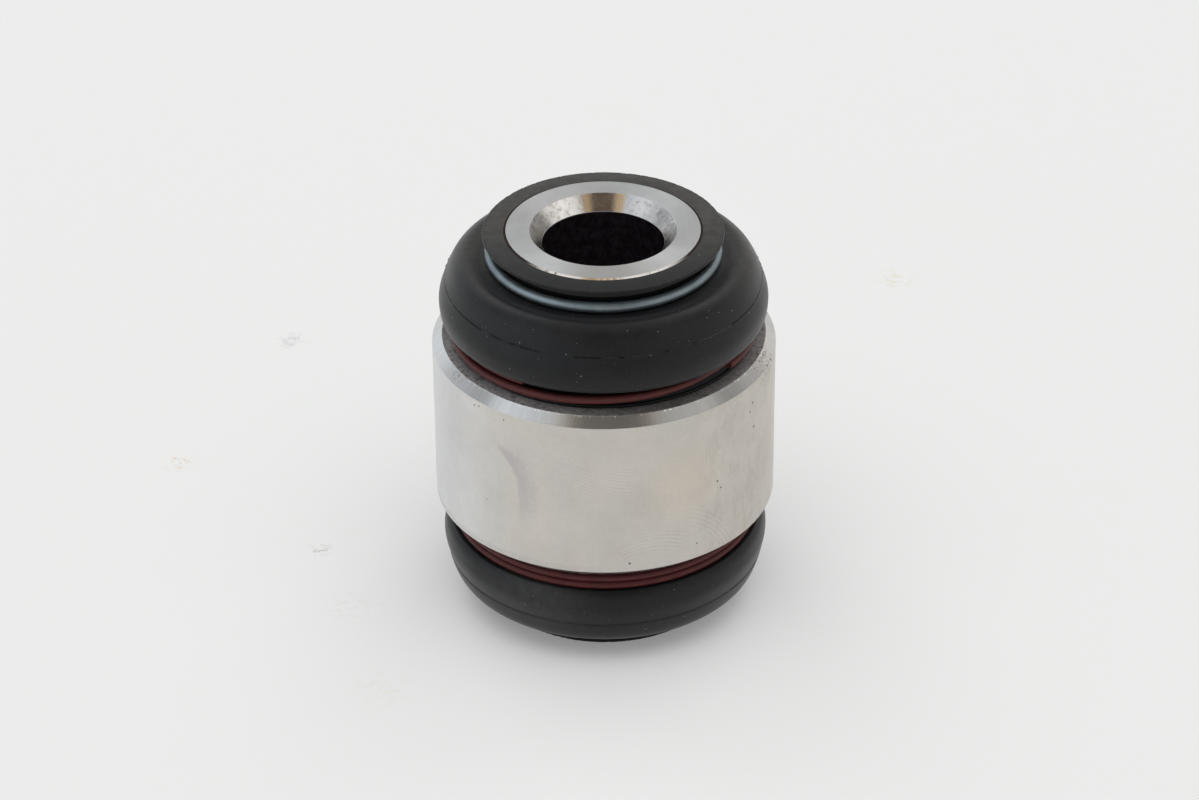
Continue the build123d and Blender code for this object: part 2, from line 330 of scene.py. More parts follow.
def sleeve_finish(s):
    f = Finish(
        "faced_sleeve_steel", Metallic=1, Anisotropic=0.85, Anisotropic_Rotation=0.25, Specular_IOR_Level=0
    )
    top = f.step(f.height, BORE_TOP - 0.05, BORE_TOP + 0.07)
    bore = f.times(f.fall(f.radius, BORE_R + 0.07, BORE_R + 0.25), f.fall(f.height, BORE_TOP - 0.1, BORE_TOP + 0.03))
    funnel = f.times(f.fall(f.radius, FUNNEL_R - 0.08, FUNNEL_R), top)
    rings = f.noise(f.xyz(f.radius, f.z, 0), 9, 3, 0.6)
    patches = f.cloudy(0.35, 3, 0.55)
    streaks = f.round_noise(14, 3, 0.65, 0.3)
    blots = f.noise(f.vector("ADD", f.place, (3.7, 1.9, 0)), 1.3, 4, 0.62, 0.6)
    pits = f.specks(1.5, 0.06, 0.16)
    faced = f.tone(s.sleeve, f.step(f.plus(rings, patches), 0.7, 1.3, 0.93, 1.05))
    # the countersinks are blotched, painted brighter and browner towards the back as painted reflection, and painted
    # darker at the sides, the left more, as painted shade
    behind = f.along(f.round, BACK)
    blots_and_side_shade = f.plus(blots, f.step(behind, -0.05, 0.55, 0.10, 0))
    funnelled = f.mix(f.step(blots_and_side_shade, 0.46, 0.74), (0.76, 0.75, 0.74), (0.46, 0.43, 0.41))
    side_shade_painted, bright = f.step(f.x, -4, 4, 0.34, 0.64), f.step(f.x, -4, 4, 1.32, 0.72)
    funnelled = f.tone(funnelled, f.step(behind, 0.36, 0.70, side_shade_painted, bright))
    # painted reflection: a brown patch at the very back of the countersink
    brown_reflection_painted = f.times(f.fall(f.gap(f.round, BACK), 0.26, 0.36), funnel)
    funnelled = f.mix(brown_reflection_painted, funnelled, (0.51, 0.42, 0.345))
    funnelled = f.mix(f.times(pits, 0.7), funnelled, (0.10, 0.08, 0.07))
    # painted reflection: two ochre bands at the back of the countersink, also made less metallic
    stains_and_reflections = f.any_of(*(f.fall(f.gap(f.round, place), 0, 0.13) for place in OCHRE_BANDS))
    stains_and_reflections = f.times(stains_and_reflections, f.step(streaks, 0.2, 0.6, 0.5, 1), funnel)
    funnelled = f.mix(f.times(stains_and_reflections, 0.8), funnelled, (0.58, 0.42, 0.24))
    # the outer edge: a painted highlight along a rough burr in front, a painted tan reflection at the very front, and
    # painted shade where the rubber closes over it
    rim = f.times(f.step(f.radius, FACE_R - 0.02, FACE_R + 0.06), top)
    ahead = f.gap(f.round, (0.06, -0.998, 0))
    worn = f.round_noise(22, 3, 0.7)
    burr_glint = f.times(f.fall(ahead, 0.55, 0.95), f.step(worn, 0.28, 0.44))
    tan_reflection_painted = f.times(f.fall(f.gap(f.round, (-0.03, -1, 0)), 0.10, 0.30), f.step(worn, 0.45, 0.60, 1, 0.4))
    edge = f.mix(burr_glint, (0.035, 0.028, 0.025), (0.70, 0.67, 0.62))
    edge = f.mix(tan_reflection_painted, edge, (0.36, 0.25, 0.14))
    # painted shade: the front of the face is darker
    faced = f.mix(f.step(ahead, 0.2, 0.6, 0.8, 0), faced, (0.555, 0.54, 0.515))
    colour = f.mix(funnel, f.mix(rim, faced, edge), funnelled)
    oil = f.step(f.cloudy(1, 4, 0.75), 0.35, 0.65, 0.6, 1.6)
    colour = f.mix(bore, colour, f.tone(s.bore, oil))
    roughness = f.plus(
        f.graded(patches, 0.10, 0.27), f.times(funnel, f.graded(blots, 0.25, -0.20)), f.times(bore, 0.5)
    )
    grit = f.times(bore, f.cloudy(2.4, 3, 0.7))
    height = f.graded(grit, 9, f.times(rings, 0.5))
    height = f.plus(height, f.times(funnel, f.graded(blots, 0.7, f.times(streaks, 0.6))))
    bare = f.minus(1, f.any_of(bore, rim, f.times(stains_and_reflections, 0.5)))
    return f.finish(colour, roughness, f.bump(height, 0.006), bare)


# Fans of fine chatter arcs on the ground diameter: centre, the arcs' radii, pitch and where along X they show (mm).
CHATTER = (
    ((4.5, -19.5, 18), 15.2, 18.9, 0.40, -8.6, -1),
    ((4.5, -19.5, 18), 13.2, 17.2, 0.44, 0.2, 3.2),
    ((5.2, -19.2, -14), 6.6, 9.4, 0.50, 1.5, 9),
    ((5.2, -19.2, -14), 9.8, 12.6, 0.52, 9.8, 15),
    ((8, -18, 3.5), 1.5, 4.6, 0.42, 11, 14.5),
    ((-13, -15.5, -8), 1.5, 4, 0.40, -11, -8),
)
# Pin spots on the ground diameter: azimuth from the front, height and radius (mm).
PIN_SPOTS = (
    (8, -8.65, 0.13), (-47.6, 9, 0.11), (-45.4, 9.2, 0.10), (-34.8, 8.8, 0.09), (58.2, 7.2, 0.14),
    (59.2, 3.8, 0.16), (56.6, 6.2, 0.12), (40.1, -0.4, 0.13), (41.7, -1.5, 0.12), (31.8, -7.8, 0.10),
)
# Azimuths of the nicks along the inner edge of the upper chamfer, where the painted glint of the burr shows.
CHAMFER_NICKS = (-29, -25, 1, 26, 31)


def chatter_arcs(f, mottle):
    """Fine arcs left by the grinding wheel, in fans."""
    fans = []
    for centre, near, far, pitch, low, high in CHATTER:
        gap = f.gap(f.place, centre)
        arc = f.math("SINE", f.graded(gap, 2 * math.pi / pitch, f.times(mottle, 2.4)))
        shown = f.times(f.between(gap, near, far, 0.9), f.between(f.x, low, high, 1.2))
        fans.append(f.times(arc, f.times(shown, f.step(f.cloudy(0.9, 2), 0.30, 0.52))))
    return f.plus(*fans)


def rubbed_streak(f, mottle):
    """A rubbed streak at the left of the front, sharp along its left edge and bowed at the top."""
    above = f.any_of(f.minus(f.z, 0.8), 0)
    bow = f.graded(f.math("POWER", above, 1.5), 0.33, f.along(f.place, (0.866, -0.5, 0)))
    bow = f.plus(bow, f.times(f.minus(mottle, 0.5), 1.2))
    streak = f.times(f.step(bow, -0.15, 0.45), f.fall(bow, 0.7, 3.4))
    return f.times(streak, f.step(f.z, -6, 0.5, 0.15, 1), f.fall(f.z, 4.4, 5.6), f.fall(f.y, -12, -8))


def housing_finish(s):
    f = Finish("ground_housing_steel", Metallic=1, Anisotropic=0.6, Anisotropic_Rotation=0.25)
    on_land = f.fall(f.height, GROUND_TOP - 0.01, GROUND_TOP + 0.05)
    ground = f.times(f.step(f.radius, GROUND_R - 0.07, GROUND_R - 0.03), on_land)
    end = f.times(f.step(f.height, END_Z - 0.10, END_Z - 0.03), f.fall(f.radius, END_R + 0.02, END_R + 0.06))
    chamfer = f.times(f.minus(1, ground), f.minus(1, end))
    # ground diameter: soft clouds, level grinding lines, chatter arcs and a rubbed streak
    clouds = f.cloudy(0.16, 3, 0.5)
    mottle = f.cloudy(1.4, 3, 0.6)
    lines = f.noise(f.xyz(f.times(f.z, 9), f.times(f.x, 0.25), f.times(f.y, 0.25)), 1, 3, 0.7)
    grain = f.cloudy(3.2, 4, 0.8)
    fans = chatter_arcs(f, mottle)
    streak = rubbed_streak(f, mottle)
    # older, blotched skin at the right, and painted shade of a rolled edge just above the lower edge at the left
    blotch = f.step(f.noise(f.vector("MULTIPLY", f.place, (1, 1, 0.45)), 0.75, 5, 0.75, 0.4), 0.40, 0.74)
    blotch = f.times(f.between(f.x, 11, 19.5, 4), blotch, f.fall(f.y, -2, 0))
    rolled_edge_shade = f.times(f.fall(f.z, -9.15, -8.85), f.fall(f.x, -8, 3))
    shade = f.plus(
        f.graded(clouds, 0.30, 0.83),
        f.graded(mottle, 0.10, f.times(lines, 0.05)),
        f.graded(fans, 0.050 * s.grinding, f.graded(grain, 0.17, -0.125)),
    )
    shade = f.minus(shade, f.graded(streak, 0.15, f.graded(blotch, 0.09, f.times(rolled_edge_shade, 0.09))))
    # painted shade: the ground diameter is darker towards the right
    shade = f.minus(shade, f.step(f.x, 6, 18, 0, 0.06))
    dots = f.times(f.specks(0.23, 0.012, 0.03), 0.6)
    pins = (f.spot(on_skin(azimuth, GROUND_R, level), size) for azimuth, level, size in PIN_SPOTS)
    marks = f.any_of(dots, *pins)
    patch = f.times(f.step(f.cloudy(0.13, 3, 0.6, 0.6), 0.42, 0.62), 0.5)
    warm = f.any_of(patch, f.spot(on_skin(27, GROUND_R, 1), 5, 0.7))
    hue = f.mix(warm, tinted(s.ground, 0.995, 1, 1.005), tinted(s.ground, 1.02, 0.99, 0.95))
    # painted reflection: a bluish light on the left of the ground diameter
    hue = f.mix(f.step(f.x, -20, -9, 0.65, 0), hue, (0.73, 0.745, 0.765))
    hue = f.mix(f.times(streak, 0.8), hue, (0.605, 0.57, 0.565))
    hue = f.mix(f.times(blotch, 0.6), hue, (0.61, 0.55, 0.49))
    skin = f.mix(marks, f.tone(hue, shade), (0.10, 0.095, 0.09))
    # chamfers: bright, with brush marks across them, painted darker towards the right as painted shade, and a painted
    # glint along a nicked burr at the inner edge
    brush = f.round_noise(30, 4, 0.7)
    bevel = f.tone(s.chamfer, f.times(f.step(brush, 0.3, 0.7, 0.95, 1.03), f.step(f.x, 2, 16, 1, 0.84)))
    nicks = (f.spot(on_skin(azimuth, END_R + 0.1, END_Z - 0.2), 1.1) for azimuth in CHAMFER_NICKS)
    raised = f.any_of(*nicks, f.step(f.round_noise(7, 2), 0.46, 0.60))
    ragged = f.step(f.round_noise(70, 3, 0.8), 0.52, 0.64)
    burr_glint = f.times(f.between(f.radius, END_R, END_R + 0.2, 0.1), ragged, raised)
    bevel = f.mix(burr_glint, bevel, (0.95, 0.94, 0.92))
    # end faces: dark and mottled, painted darker towards the front as painted shade under the boot and lighter at the
    # sides as painted light, with rust creeping in at some places of the edge
    across_light_and_shade = f.math("MINIMUM", f.step(f.x, -18, 16, 0.62, -0.20), f.step(f.x, -18, -8, -0.15, 0.42))
    end_light_and_shade = f.plus(f.step(f.gap(f.round, FRONT), 0.3, 0.9, 0.66, 1.12), across_light_and_shade)
    mottled = f.tone(s.end_face, f.times(end_light_and_shade, f.step(f.cloudy(2.2, 4, 0.7), 0.3, 0.7, 0.75, 1.25)))
    grime = f.times(f.step(f.cloudy(0.8, 3, 0.6), 0.52, 0.70), 0.5)
    annulus = f.mix(grime, mottled, (0.10, 0.07, 0.05))
    rusty = f.any_of(f.spot(on_skin(70, 19.2, 10.4), 2.4), f.spot(on_skin(-60, 18.9, 10.7), 1.2))
    near_edge = f.times(f.step(f.radius, 17.6, 18.6), f.step(f.z, 0, 1))
    rusty = f.times(rusty, near_edge, f.step(f.cloudy(3.2, 3, 0.7), 0.52, 0.62))
    colour = f.mix(ground, f.mix(end, bevel, annulus), skin)
    colour = f.mix(f.times(rusty, 0.85), colour, s.rust)
    roughness = f.graded(ground, f.graded(clouds, 0.12, 0.12), f.graded(end, 0.34, 0.24))
    roughness = f.plus(roughness, f.times(rusty, 0.3))
    height = f.plus(
        f.times(ground, f.graded(lines, 0.6, f.graded(fans, 0.22 * s.grinding, f.times(mottle, 0.35)))),
        f.times(chamfer, f.times(brush, 0.12)),
        f.times(end, f.times(f.cloudy(3, 4, 0.7), 1.6)),
    )
    return f.finish(colour, roughness, f.bump(height, 0.008), f.minus(1, f.times(burr_glint, 0.8)))


def closing_ring_finish(s):
    f = Finish("turned_closing_ring", Metallic=1)
    rings = f.noise(f.xyz(f.radius, f.z, 0), 6, 3, 0.6)
    stain = f.cloudy(0.7, 3, 0.6)
    colour = f.tone(s.closing_ring, f.step(f.plus(rings, stain), 0.6, 1.4, 0.85, 1.1))
    return f.finish(colour, f.graded(stain, 0.2, 0.28), f.bump(rings, 0.01))


def seat_finish(s):
    f = Finish("bearing_plastic", IOR=1.48)
    flow = f.cloudy(0.4, 3, 0.5, 0.8)
    grain = f.cloudy(6, 2, 0.6)
    colour = f.mix(f.step(flow, 0.35, 0.7), s.seat, tinted(s.seat, 0.9, 0.9, 0.9))
    return f.finish(colour, f.graded(grain, 0.15, 0.35), f.bump(grain, 0.006))


def coated_wire(name, colour, chip, metallic=0):
    """Coated spring wire: drawn lines along it, worn patches and small chips."""
    f = Finish(name, Metallic=metallic, IOR=1.5, Specular_IOR_Level=0.22)
    around = f.along(f.round, (1, 0.6, 0))
    drawn = f.noise(f.xyz(f.times(f.radius, 7), f.times(f.z, 7), around), 1, 3, 0.6)
    worn = f.cloudy(0.5, 3, 0.6)
    chips = f.specks(0.55, 0.03, 0.07)
    coat = f.tone(colour, f.step(f.plus(drawn, worn), 0.6, 1.4, 0.80, 1.22))
    coat = f.mix(f.times(chips, 0.8), coat, chip)
    return f.finish(coat, f.graded(worn, 0.2, 0.32), f.bump(f.minus(f.times(drawn, 0.5), chips), 0.01))


# ---- the boots
# Radii and heights of the moulded boot at the upper end, in millimetres.
SLEEVE_R = 11.66
RIM_R, RIM_LOW = 11.42, 23.96
BEAD_R, BEAD_LOW, BEAD_HIGH = 10.96, 20.32, 22.58
COLLAR_R, COLLAR_TOP, COLLAR_UNDER = 13.9, 24.12, 23.67
GROOVE_R, GROOVE_LOW, GROOVE_HIGH = 12.4, 20.78, 22.48
CREST_R, CREST_RISE = 15.9, 0.27
LINE_R, LINE_Z = 18.3, 18.15
WIDE_R, WIDE_Z = 19.05, 15.30
UNDER_Z, SEAT_R, LIP_R = 13.69, 17, 17.35
LIP_LOW, LIP_HIGH = 10.82, 11.2
THROAT_R, BEAD_OVER_R, THROAT_TOP, MOUTH_Z = 15.67, 16.12, 13.88, 14.75
WALL = 1.35
# The circle that the section is swept round.
BASE_R = 16


def rubber_finish(s):
    f = Finish("boot_rubber", IOR=1.50, Specular_IOR_Level=0.26, Sheen_Weight=0.12, Sheen_Roughness=0.4)
    grain = f.cloudy(9, 3, 0.65)
    wiped = f.cloudy(0.28, 4, 0.6, 0.4)
    film = f.cloudy(1.1, 3, 0.6)
    broken = f.step(film, 0.25, 0.7, 0.6, 1.2)
    powder = f.specks(2.6, 0.05, 0.12)
    colour = f.tone(s.rubber, f.step(f.plus(wiped, film), 0.7, 1.3, 0.80, 1.35))
    colour = f.mix(f.times(powder, 0.10), colour, s.dust)
    # a film of dust lies on the collar and the top of the shoulder and fades out towards the front, which paints the
    # back lighter as painted light; it is left off the collar's rim
    rim = f.times(f.between(f.radius, COLLAR_R - 0.18, COLLAR_R + 0.3, 0.2), f.step(f.z, 22.6, 23.2))
    dust_film_and_light = f.times(f.step(f.z, 19, 23, 0.3, 1), f.step(f.y, -13, 4), f.step(f.z, 18, 19.5), broken)
    dust_film_and_light = f.times(dust_film_and_light, f.minus(1, rim))
    colour = f.mix(f.times(dust_film_and_light, 0.10), colour, tinted(s.dust, 1, 0.93, 0.84))
    # painted highlight: a soft light patch on the left of the lower boot's shoulder
    shoulder_highlight_painted = f.times(f.spot(on_skin(-26, 18.6, -14.6), 5, 0.85), broken)
    colour = f.mix(f.times(shoulder_highlight_painted, 0.06), colour, s.dust)
    # painted shadow under the ragged flash along the parting line: a dark, rougher line, fuller at the sides
    line_breaks = f.plus(f.round_noise(6, 4, 0.75), f.step(f.math("ABSOLUTE", f.x), 11, 16, 0, 0.14))
    torn = f.times(f.between(f.height, LINE_Z - 0.17, LINE_Z + 0.10, 0.1), f.step(line_breaks, 0.46, 0.60))
    torn = f.times(torn, f.times(f.step(f.radius, 17, 17.6), f.step(f.z, -1, 1, 0.4, 1)))
    colour = f.tone(colour, f.graded(torn, -0.75, 1))
    # the underside of the collar, over the wire, is rubbed rough, and painted dark as painted shade
    under = f.between(f.height, 21.8, COLLAR_UNDER - 0.01, 0.08)
    rubbed = f.times(f.between(f.radius, GROOVE_R - 0.2, COLLAR_R + 0.08, 0.1), under)
    colour = f.tone(colour, f.graded(rubbed, -0.7, 1))
    roughness = f.plus(f.graded(wiped, 0.16, 0.33), f.times(torn, 0.5), f.times(rubbed, 0.6))
    return f.finish(colour, roughness, f.bump(f.graded(grain, 0.6, f.times(film, 0.8)), 0.012))


def dust_finish(s):
    f = Finish("dust", IOR=1.45)
    mix = f.cloudy(1.7, 2)
    colour = f.mix(f.step(mix, 0.4, 0.65), s.dust, tinted(s.dust, 0.45, 0.45, 0.45))
    return f.finish(colour, f.graded(mix, 0.2, 0.7), f.bump(mix, 0.01))


def corners(points, steps=4):
    """A line through points (r, z, corner radius), its corners rounded."""
    line = []
    for i, (r, z, radius) in enumerate(points):
        here = Vector((r, z))
        if radius == 0 or i in (0, len(points) - 1):
            line.append(here)
            continue
        before = Vector(points[i - 1][:2]) - here
        after = Vector(points[i + 1][:2]) - here
        cut = min(radius, 0.45 * before.length, 0.45 * after.length)
        start, end = here + cut * before.normalized(), here + cut * after.normalized()
        for k in range(steps + 1):
            t = k / steps
            line.append(start * (1 - t) ** 2 + here * 2 * t * (1 - t) + end * t * t)
    return line


def flowing(points, leave, arrive, steps=9):
    """A smooth line through points, which leaves the first and arrives at the last in the given directions."""
    points = [Vector(p) for p in points]
    slopes = [Vector(leave).normalized()]
    for a, b, c in zip(points, points[1:], points[2:]):
        near, far = (b - a).length, (c - b).length
        slopes.append((((b - a) / near) * far + ((c - b) / far) * near).normalized())
    slopes.append(Vector(arrive).normalized())
    line = []
    for a, b, leaving, arriving in zip(points, points[1:], slopes, slopes[1:]):
        reach = (b - a).length / 3
        handles = (a, a + leaving * reach, b - arriving * reach, b)
        run = interpolate_bezier(*(p.to_3d() for p in handles), steps + 1)
        line += [p.to_2d() for p in run[:steps]]
    return line + [run[-1].to_2d()]


def boot_section(bulge):
    """The closed half section of a boot for the upper end; bulge is how far its shoulder swells (mm)."""
    line_r = LINE_R + 0.88 * bulge
    ridge = 1 - bulge
    wide_r = WIDE_R + 0.25 * bulge
    slope = (0.47 - 0.4 * bulge, -1)
    over_line = LINE_Z + (0.91 + 0.2 * bulge) * (GROOVE_LOW - LINE_Z)
    inner = SLEEVE_R + 0.02
    neck = corners([
        (inner, BEAD_LOW, 0), (BEAD_R, BEAD_LOW, 0.12), (BEAD_R, BEAD_HIGH, 0.12), (SLEEVE_R, BEAD_HIGH, 0.08),
        (SLEEVE_R, RIM_LOW, 0.03), (RIM_R, COLLAR_TOP, 0.05), (COLLAR_R, COLLAR_TOP - 0.12, 0.16),
        (COLLAR_R, COLLAR_UNDER, 0.12), (GROOVE_R, GROOVE_HIGH, 0.15), (GROOVE_R, GROOVE_LOW, 0.2),
        (GROOVE_R + 1.6, GROOVE_LOW, 0),
    ])
    shoulder = flowing([
        (GROOVE_R + 1.7, GROOVE_LOW), (CREST_R + 0.9 * bulge, GROOVE_LOW + CREST_RISE + bulge),
        (CREST_R + 1 + 1.4 * bulge, over_line), (line_r, LINE_Z + 0.16),
    ], (1, 0.1 + 0.4 * bulge), slope)
    step = ((0, 0.10), (0.02, 0.05), (0.04, 0), (0.04, -0.05), (0.02, -0.10), (0.02, -0.15))
    parting = [Vector((line_r + ridge * (0.02 + out), LINE_Z + level)) for out, level in step]
    wall = flowing([
        (line_r + 0.06 * ridge, LINE_Z - 0.22), (wide_r, WIDE_Z), (WIDE_R - 0.45, UNDER_Z),
        (WIDE_R - 0.72, UNDER_Z - 0.18), (18.12, UNDER_Z),
    ], slope, (-1, 1))
    lip = corners([
        (18.10, UNDER_Z, 0), (SEAT_R, UNDER_Z, 0.15), (SEAT_R, LIP_HIGH, 0.15), (LIP_R, LIP_HIGH, 0.1),
        (LIP_R, LIP_LOW, 0.1), (THROAT_R, LIP_LOW, 0.1), (THROAT_R, THROAT_TOP, 0.1), (BEAD_OVER_R, THROAT_TOP, 0.1),
        (BEAD_OVER_R, MOUTH_Z, 0.3), (wide_r - WALL, MOUTH_Z + 0.3, 1), (wide_r - WALL, MOUTH_Z + 1.6, 1.2),
        (line_r - 1.3 * WALL, GROOVE_LOW - WALL, 1.2), (GROOVE_R + 1.7, GROOVE_LOW - WALL, 0.4),
        (SLEEVE_R + 0.45, GROOVE_LOW - WALL, 0.2), (inner, GROOVE_LOW - WALL + 0.45, 0.2), (inner, BEAD_LOW - 0.05, 0),
    ])
    return neck + shoulder + parting + wall + lip


def named_tree(name, **inputs):
    """A geometry tree with named inputs. Returns its Tree and the sockets of its group input."""
    group = bpy.data.node_groups.new(name, "GeometryNodeTree")
    group.is_modifier = True
    tree = Tree(group)
    tree.identifiers = {}
    for word, kind in {"Geometry": "Geometry", **inputs}.items():
        label = word.replace("_", " ")
        socket = group.interface.new_socket(label, in_out="INPUT", socket_type="NodeSocket" + kind)
        tree.identifiers[word] = socket.identifier
    group.interface.new_socket("Geometry", in_out="OUTPUT", socket_type="NodeSocketGeometry")
    return tree, tree.node("NodeGroupInput").outputs


def close_tree(tree, geometry, material):
    """Ends a tree in Realize Instances and Set Material."""
    real = tree.node("GeometryNodeRealizeInstances", Geometry=geometry)
    smooth = tree.node("GeometryNodeSetShadeSmooth", Geometry=real.outputs[0])
    coated = tree.node("GeometryNodeSetMaterial", Geometry=smooth.outputs[0], Material=material)
    tree.node("NodeGroupOutput", (coated.outputs[0],))


def bake(name, mesh, tree, **values):
    """Runs a tree on a mesh with its inputs set and returns a plain object at the origin."""
    maker = stand(name + "_maker", mesh)
    modifier = maker.modifiers.new("nodes", "NODES")
    modifier.node_group = tree.tree
    for word, value in values.items():
        modifier[tree.identifiers[word]] = value
    maker.update_tag()
    bpy.context.view_layer.update()
    baked = bpy.data.meshes.new_from_object(maker.evaluated_get(bpy.context.evaluated_depsgraph_get()))
    maker.modifiers.remove(modifier)
    bpy.data.objects.remove(maker)
    if not baked.polygons:
        raise RuntimeError(f"the tree of {name} made no faces")
    baked.name = name
    return stand(name, baked)


def facing_out(mesh):
    """Turns a closed mesh so that its faces point outwards."""
    volume = 0
    for polygon in mesh.polygons:
        a, *rest = (mesh.vertices[i].co for i in polygon.vertices)
        volume += sum(a.dot(b.cross(c)) for b, c in zip(rest, rest[1:]))
    if volume < 0:
        mesh.flip_normals()


def boot_tree():
    """Turns a half section round the Z axis, with flash on the parting line, a nicked collar and a slow ripple."""
    t, given = named_tree(
        "Boot moulding", Steps_round="Int", Base_radius="Float", Parting_level="Float", Collar_level="Float",
        Flash_height="Float", Edge_nicks="Float", Ripple="Float", Seed="Int", Rubber="Material",
    )
    base = given["Base radius"]
    outline = t.geometry("MeshToCurve", (given["Geometry"],))
    inward = t.xyz(t.times(base, -1), 0, 0)
    shifted = t.geometry("Transform", Geometry=outline, Translation=inward)
    # the section stands in the XZ plane; laid down it is a profile whose Y axis points down the part
    laid = t.geometry("Transform", Geometry=shifted, Rotation=(math.pi / 2, 0, 0))
    circle = t.geometry("CurvePrimitiveCircle", Resolution=given["Steps round"], Radius=base)
    swept = t.geometry("CurveToMesh", Curve=circle, Profile_Curve=laid)
    place = t.geometry("InputPosition")
    x, y, z = t.node("ShaderNodeSeparateXYZ", (place,)).outputs
    flat = t.xyz(x, y, 0)
    out = t.vector("NORMALIZE", flat)
    radius = t.vector("LENGTH", flat, out=1)
    drift = t.times(given["Seed"], 7.3)

    def roughly(vector, scale, detail):
        shape = {"Scale": scale, "Detail": detail, "Roughness": 0.6}
        return t.node("ShaderNodeTexNoise", Vector=vector, W=drift, **shape, noise_dimensions="4D").outputs[0]

    def off(level):
        return t.math("ABSOLUTE", t.minus(z, given[level]))

    outer, collar = LINE_R * MM, COLLAR_R * MM
    on_line = t.fall(off("Parting level"), 0, 0.12 * MM)
    on_line = t.times(on_line, t.step(radius, outer - 0.9 * MM, outer - 0.5 * MM))
    ragged = t.times(t.step(roughly(out, 26, 3), 0.40, 0.72), t.step(roughly(out, 4, 2), 0.36, 0.60))
    flash = t.times(on_line, given["Flash height"], t.graded(ragged, 1.3, -0.12))
    on_rim = t.fall(off("Collar level"), 0.05 * MM, 0.5 * MM)
    on_rim = t.times(on_rim, t.step(radius, collar - 0.35 * MM, collar - 0.1 * MM))
    nicks = t.times(on_rim, given["Edge nicks"], t.step(roughly(out, 30, 2), 0.46, 0.74, 0, -1))
    slow = t.times(t.minus(roughly(t.scaled(place, 150), 1, 1), 0.5), given["Ripple"])
    outside = t.times(
        t.step(radius, collar + 0.5 * MM, collar + 2.1 * MM), t.step(t.math("ABSOLUTE", z), 14 * MM, 15 * MM)
    )
    slow = t.times(slow, outside)
    offset = t.scaled(out, t.plus(flash, nicks, slow))
    moved = t.geometry("SetPosition", Geometry=swept, Offset=offset)
    close_tree(t, moved, given["Rubber"])
    return t


def make_boots(s, rubber):
    tree = boot_tree()
    boots = []
    for name, bulge, side, seed, ragged in (
        ("upper_boot_moulding", 0, 1, 3, 1),
        ("lower_boot_moulding", s.lower_bulge / MM, -1, 11, 0.5),
    ):
        section = boot_section(bulge)
        mesh = bpy.data.meshes.new(name + "_section")
        count = len(section)
        places = [(p.x * MM, 0, side * p.y * MM) for p in section]
        mesh.from_pydata(places, [(i, (i + 1) % count) for i in range(count)], [])
        boot = bake(
            name, mesh, tree, Steps_round=s.steps_round, Base_radius=BASE_R * MM,
            Parting_level=side * (LINE_Z - 0.02) * MM, Collar_level=side * COLLAR_TOP * MM,
            Flash_height=ragged * s.flash_height, Edge_nicks=s.edge_nicks, Ripple=s.ripple, Seed=seed, Rubber=rubber,
        )
        facing_out(boot.data)
        boots.append(boot)
    return boots


def clamp_boot(piece):
    """Bakes the piece's placement into its mesh."""
    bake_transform(piece)


# Larger grains that were left in place: azimuth from the front, radius, height (mm).
UPPER_GRAINS = (
    (-66.5, 18.76, 16.97), (-64.8, 18.90, 16.47), (-27, 17.31, 20.10), (-31.2, 18.18, 18.52),
    (-33.8, 19.05, 15.26), (-13.3, 18.26, 18.27), (-7.8, 18.98, 16.05), (9, 16.82, 20.60),
    (20.5, 17.25, 20.17), (41.8, 17.37, 20.04), (40.5, 18.32, 18.11), (47.7, 17.43, 19.97),
    (54.5, 17.81, 19.40), (63.5, 18.45, 17.79), (16.5, 18.38, 17.95),
)
LOWER_GRAINS = (
    (-7.5, 19.15, -16.06), (-26, 19.12, -14.87), (16.5, 19.02, -17.05),
    (14.5, 18.47, -19.17), (24.8, 18.91, -14.16), (20.3, 19.16, -15.87),
)


